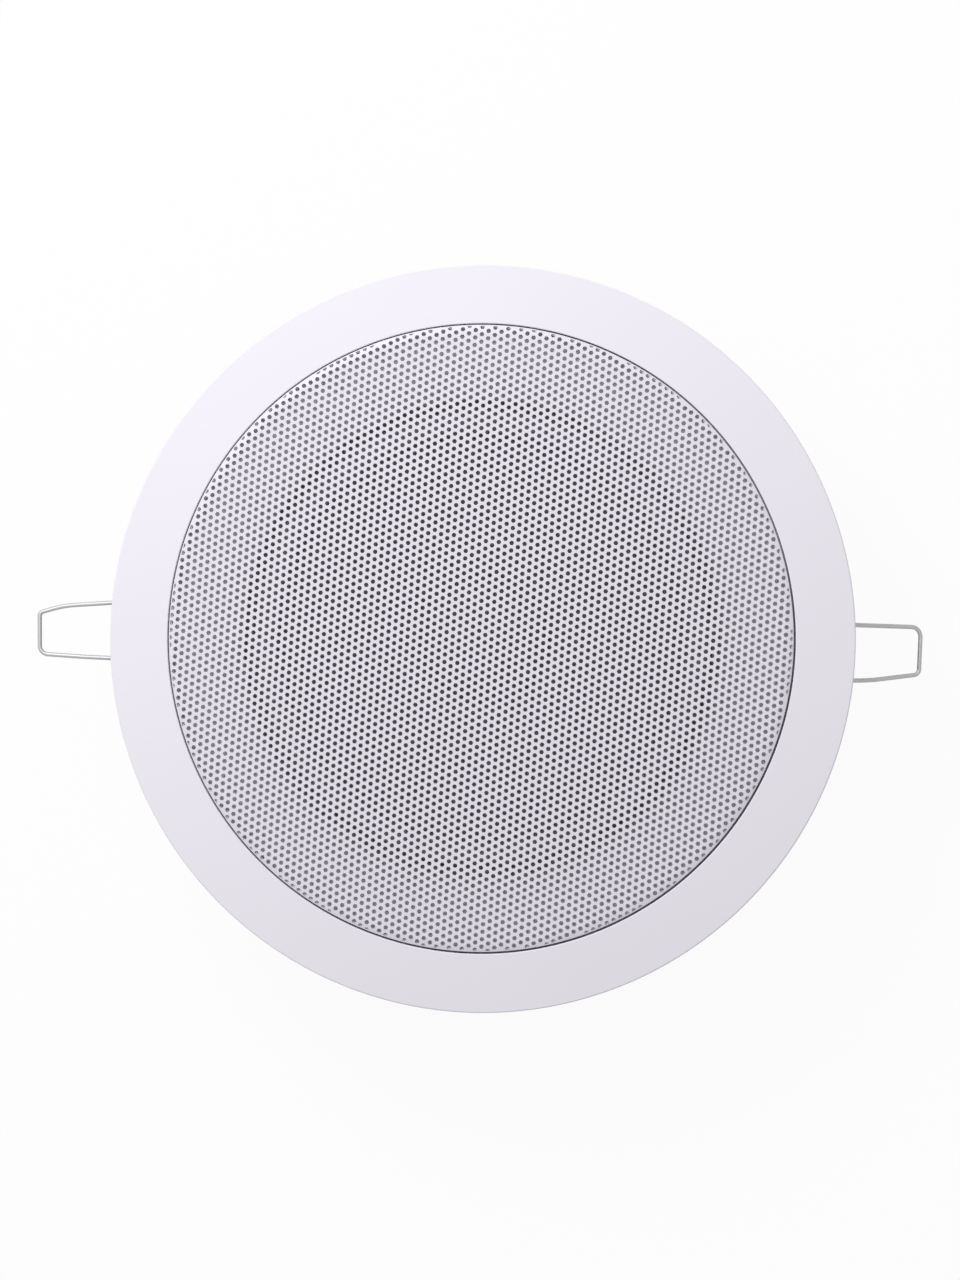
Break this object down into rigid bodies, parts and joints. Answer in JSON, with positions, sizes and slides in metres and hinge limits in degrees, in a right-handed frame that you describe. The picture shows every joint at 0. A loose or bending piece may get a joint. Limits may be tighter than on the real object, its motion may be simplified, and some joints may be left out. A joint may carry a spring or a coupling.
{
  "type": "in-ceiling speaker",
  "caption": "Round flush-mount ceiling loudspeaker: white flange, perforated steel grille, cone driver behind it and sprung wire clips that grip the ceiling board.",
  "frame": {"origin": "on the sound axis, in the plane of the flange's back face, which meets the ceiling", "axes": "+Z along the sound axis out of the grille, +X through the two spring clips, towards the right one seen from the front; it lies face up on the yoke"},
  "size_m": [0.2419, 0.2, 0.0554],
  "materials": {
    "white_plastic": "satin moulded",
    "white_painted_steel": "satin powder coat",
    "spring_wire": "drawn bright",
    "gasket_card": "matte",
    "black_painted_steel": "semi gloss",
    "zinc_steel": "zinc plated",
    "coated_cloth": "coated",
    "cone_paper": "matte fibrous",
    "spider_cloth": "resin coated",
    "former_paper": "matte",
    "copper": "enamelled",
    "ferrite": "ground",
    "terminal_board": "laminated",
    "tinned_brass": "tinned"
  },
  "bodies": {
    "root": {"bezel": "white_plastic", "housing": "white_plastic", "grille": "white_painted_steel", "front_gasket": "gasket_card", "basket": "black_painted_steel", "driver_screws": "zinc_steel", "surround": "coated_cloth", "spider": "spider_cloth", "top_plate": "zinc_steel", "magnet": "ferrite", "yoke": "zinc_steel", "terminal_strip": "terminal_board", "terminal_tags": "tinned_brass", "terminal_rivet": "tinned_brass", "tinsel_leads": "copper"},
    "cone": {"cone": "cone_paper", "dust_cap": "cone_paper", "voice_coil_former": "former_paper", "voice_coil_winding": "copper"},
    "left_clip": {"left_clip": "spring_wire"},
    "right_clip": {"right_clip": "spring_wire"}
  },
  "joints": [
    {"name": "left_clip_fold", "type": "hinge", "parent": "root", "child": "left_clip", "pos_m": [-0.0818, 0, -0.009], "axis": [0, -1, 0], "range_deg": [0, 90], "stiffness_Nm_per_rad": 0.05},
    {"name": "right_clip_fold", "type": "hinge", "parent": "root", "child": "right_clip", "pos_m": [0.0818, 0, -0.009], "axis": [0, 1, 0], "range_deg": [-22.5, 67.5], "stiffness_Nm_per_rad": 0.05},
    {"name": "cone_travel", "type": "slide", "parent": "root", "child": "cone", "axis": [0, 0, 1], "range_m": [-0.0025, 0.0025], "stiffness_N_per_m": 1500, "deforming": ["surround", "spider", "tinsel_leads"]}
  ]
}
